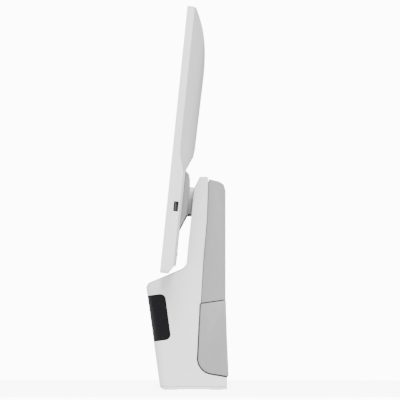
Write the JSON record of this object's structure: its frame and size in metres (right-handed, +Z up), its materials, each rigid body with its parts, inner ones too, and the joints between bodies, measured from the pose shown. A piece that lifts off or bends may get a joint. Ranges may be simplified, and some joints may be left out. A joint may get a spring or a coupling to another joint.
{
  "type": "video magnifier",
  "caption": "Desktop video magnifier: a flat screen on a tilt hinge over a narrow column whose base holds a camera and lamps behind a smoked wrap-around window.",
  "frame": {"origin": "on the table, under the middle of the object's box", "axes": "+X across the screen, +Y from the screen to the back, +Z up"},
  "size_m": [0.56, 0.108, 0.5011],
  "materials": {
    "white_plastic": "fine matt white-grey moulding",
    "white_paint": "white powder coat on steel",
    "grey_plastic": "fine matt mid-grey moulding",
    "dark_plastic": "matt black moulding",
    "smoked_window": "polished smoked acrylic",
    "screen_glass": "low-gloss black display glass",
    "lens_glass": "coated lens glass",
    "clear_plastic": "clear light guide and diffuser acrylic",
    "circuit_board": "green solder mask",
    "chip_epoxy": "moulded epoxy",
    "sheet_steel": "zinc-plated sheet steel",
    "bright_steel": "turned and plated steel",
    "aluminium": "pressed and die-cast aluminium",
    "ballast_iron": "painted cast iron",
    "washer_brass": "bronze friction washer",
    "rubber": "moulded rubber",
    "lamp_white": "white reflector plastic and board mask",
    "led_yellow": "phosphor-coated chips",
    "button_red": "moulded red key",
    "button_yellow": "moulded yellow key",
    "button_blue": "moulded blue key",
    "button_green": "moulded green key"
  },
  "bodies": {
    "stand": {"front_shell": "white_plastic", "upper_cover": "grey_plastic", "camera_window": "smoked_window", "bay_tub": "dark_plastic", "base_plate": "white_paint", "feet": "rubber", "base_screws": "bright_steel", "ballast_blocks": "ballast_iron", "spine": "sheet_steel", "spine_screws": "bright_steel", "tilt_pin": "bright_steel", "pin_nuts": "bright_steel", "friction_washers": "washer_brass", "camera_housing": "dark_plastic", "sensor_board": "circuit_board", "camera_bracket": "sheet_steel", "lamp_trays": "lamp_white", "lamp_boards": "lamp_white", "lamp_leds": "led_yellow", "lamp_diffusers": "clear_plastic", "socket_board": "circuit_board", "power_socket": "dark_plastic", "video_socket": "bright_steel", "data_socket": "bright_steel", "door_pins": "bright_steel"},
    "display": {"front_bezel": "white_plastic", "back_cover": "grey_plastic", "lcd_glass": "screen_glass", "light_guide": "clear_plastic", "led_strip": "led_yellow", "panel_tray": "sheet_steel", "display_board": "circuit_board", "board_chips": "chip_epoxy", "heat_spreader": "aluminium", "speakers": "dark_plastic", "usb_socket": "bright_steel", "usb_tongue": "dark_plastic", "key_board": "circuit_board", "key_switches": "chip_epoxy", "hinge_plate": "sheet_steel", "hinge_shroud": "grey_plastic", "shroud_trim": "dark_plastic", "neck": "aluminium", "neck_screws": "bright_steel", "cover_screws": "bright_steel"},
    "lens": {"lens_barrel": "dark_plastic", "front_lens": "lens_glass"},
    "rear_door": {"rear_door": "grey_plastic"},
    "power_button": {"power_button": "button_red"},
    "mode_button": {"mode_button": "button_yellow"},
    "zoom_out_button": {"zoom_out_button": "button_blue"},
    "zoom_in_button": {"zoom_in_button": "button_blue"},
    "freeze_button": {"freeze_button": "button_green"}
  },
  "joints": [
    {"name": "screen_tilt", "type": "hinge", "parent": "stand", "child": "display", "pos_m": [0, 0.018, 0.246], "axis": [-1, 0, 0], "range_deg": [-1.5, 20]},
    {"name": "door_swing", "type": "hinge", "parent": "stand", "child": "rear_door", "pos_m": [0, 0.047, 0.1135], "axis": [1, 0, 0], "range_deg": [0, 75]},
    {"name": "lens_focus", "type": "slide", "parent": "stand", "child": "lens", "axis": [0, -0.866, -0.5], "range_m": [0, 0.002]},
    {"name": "power_press", "type": "slide", "parent": "display", "child": "power_button", "axis": [0, 0.9947, -0.1028], "range_m": [0, 0.0008], "stiffness_N_per_m": 1500, "springref_m": -0.0003},
    {"name": "mode_press", "type": "slide", "parent": "display", "child": "mode_button", "axis": [0, 0.9947, -0.1028], "range_m": [0, 0.0008], "stiffness_N_per_m": 1500, "springref_m": -0.0003},
    {"name": "zoom_out_press", "type": "slide", "parent": "display", "child": "zoom_out_button", "axis": [0, 0.9947, -0.1028], "range_m": [0, 0.0008], "stiffness_N_per_m": 1500, "springref_m": -0.0003},
    {"name": "zoom_in_press", "type": "slide", "parent": "display", "child": "zoom_in_button", "axis": [0, 0.9947, -0.1028], "range_m": [0, 0.0008], "stiffness_N_per_m": 1500, "springref_m": -0.0003},
    {"name": "freeze_press", "type": "slide", "parent": "display", "child": "freeze_button", "axis": [0, 0.9947, -0.1028], "range_m": [0, 0.0008], "stiffness_N_per_m": 1500, "springref_m": -0.0003}
  ]
}
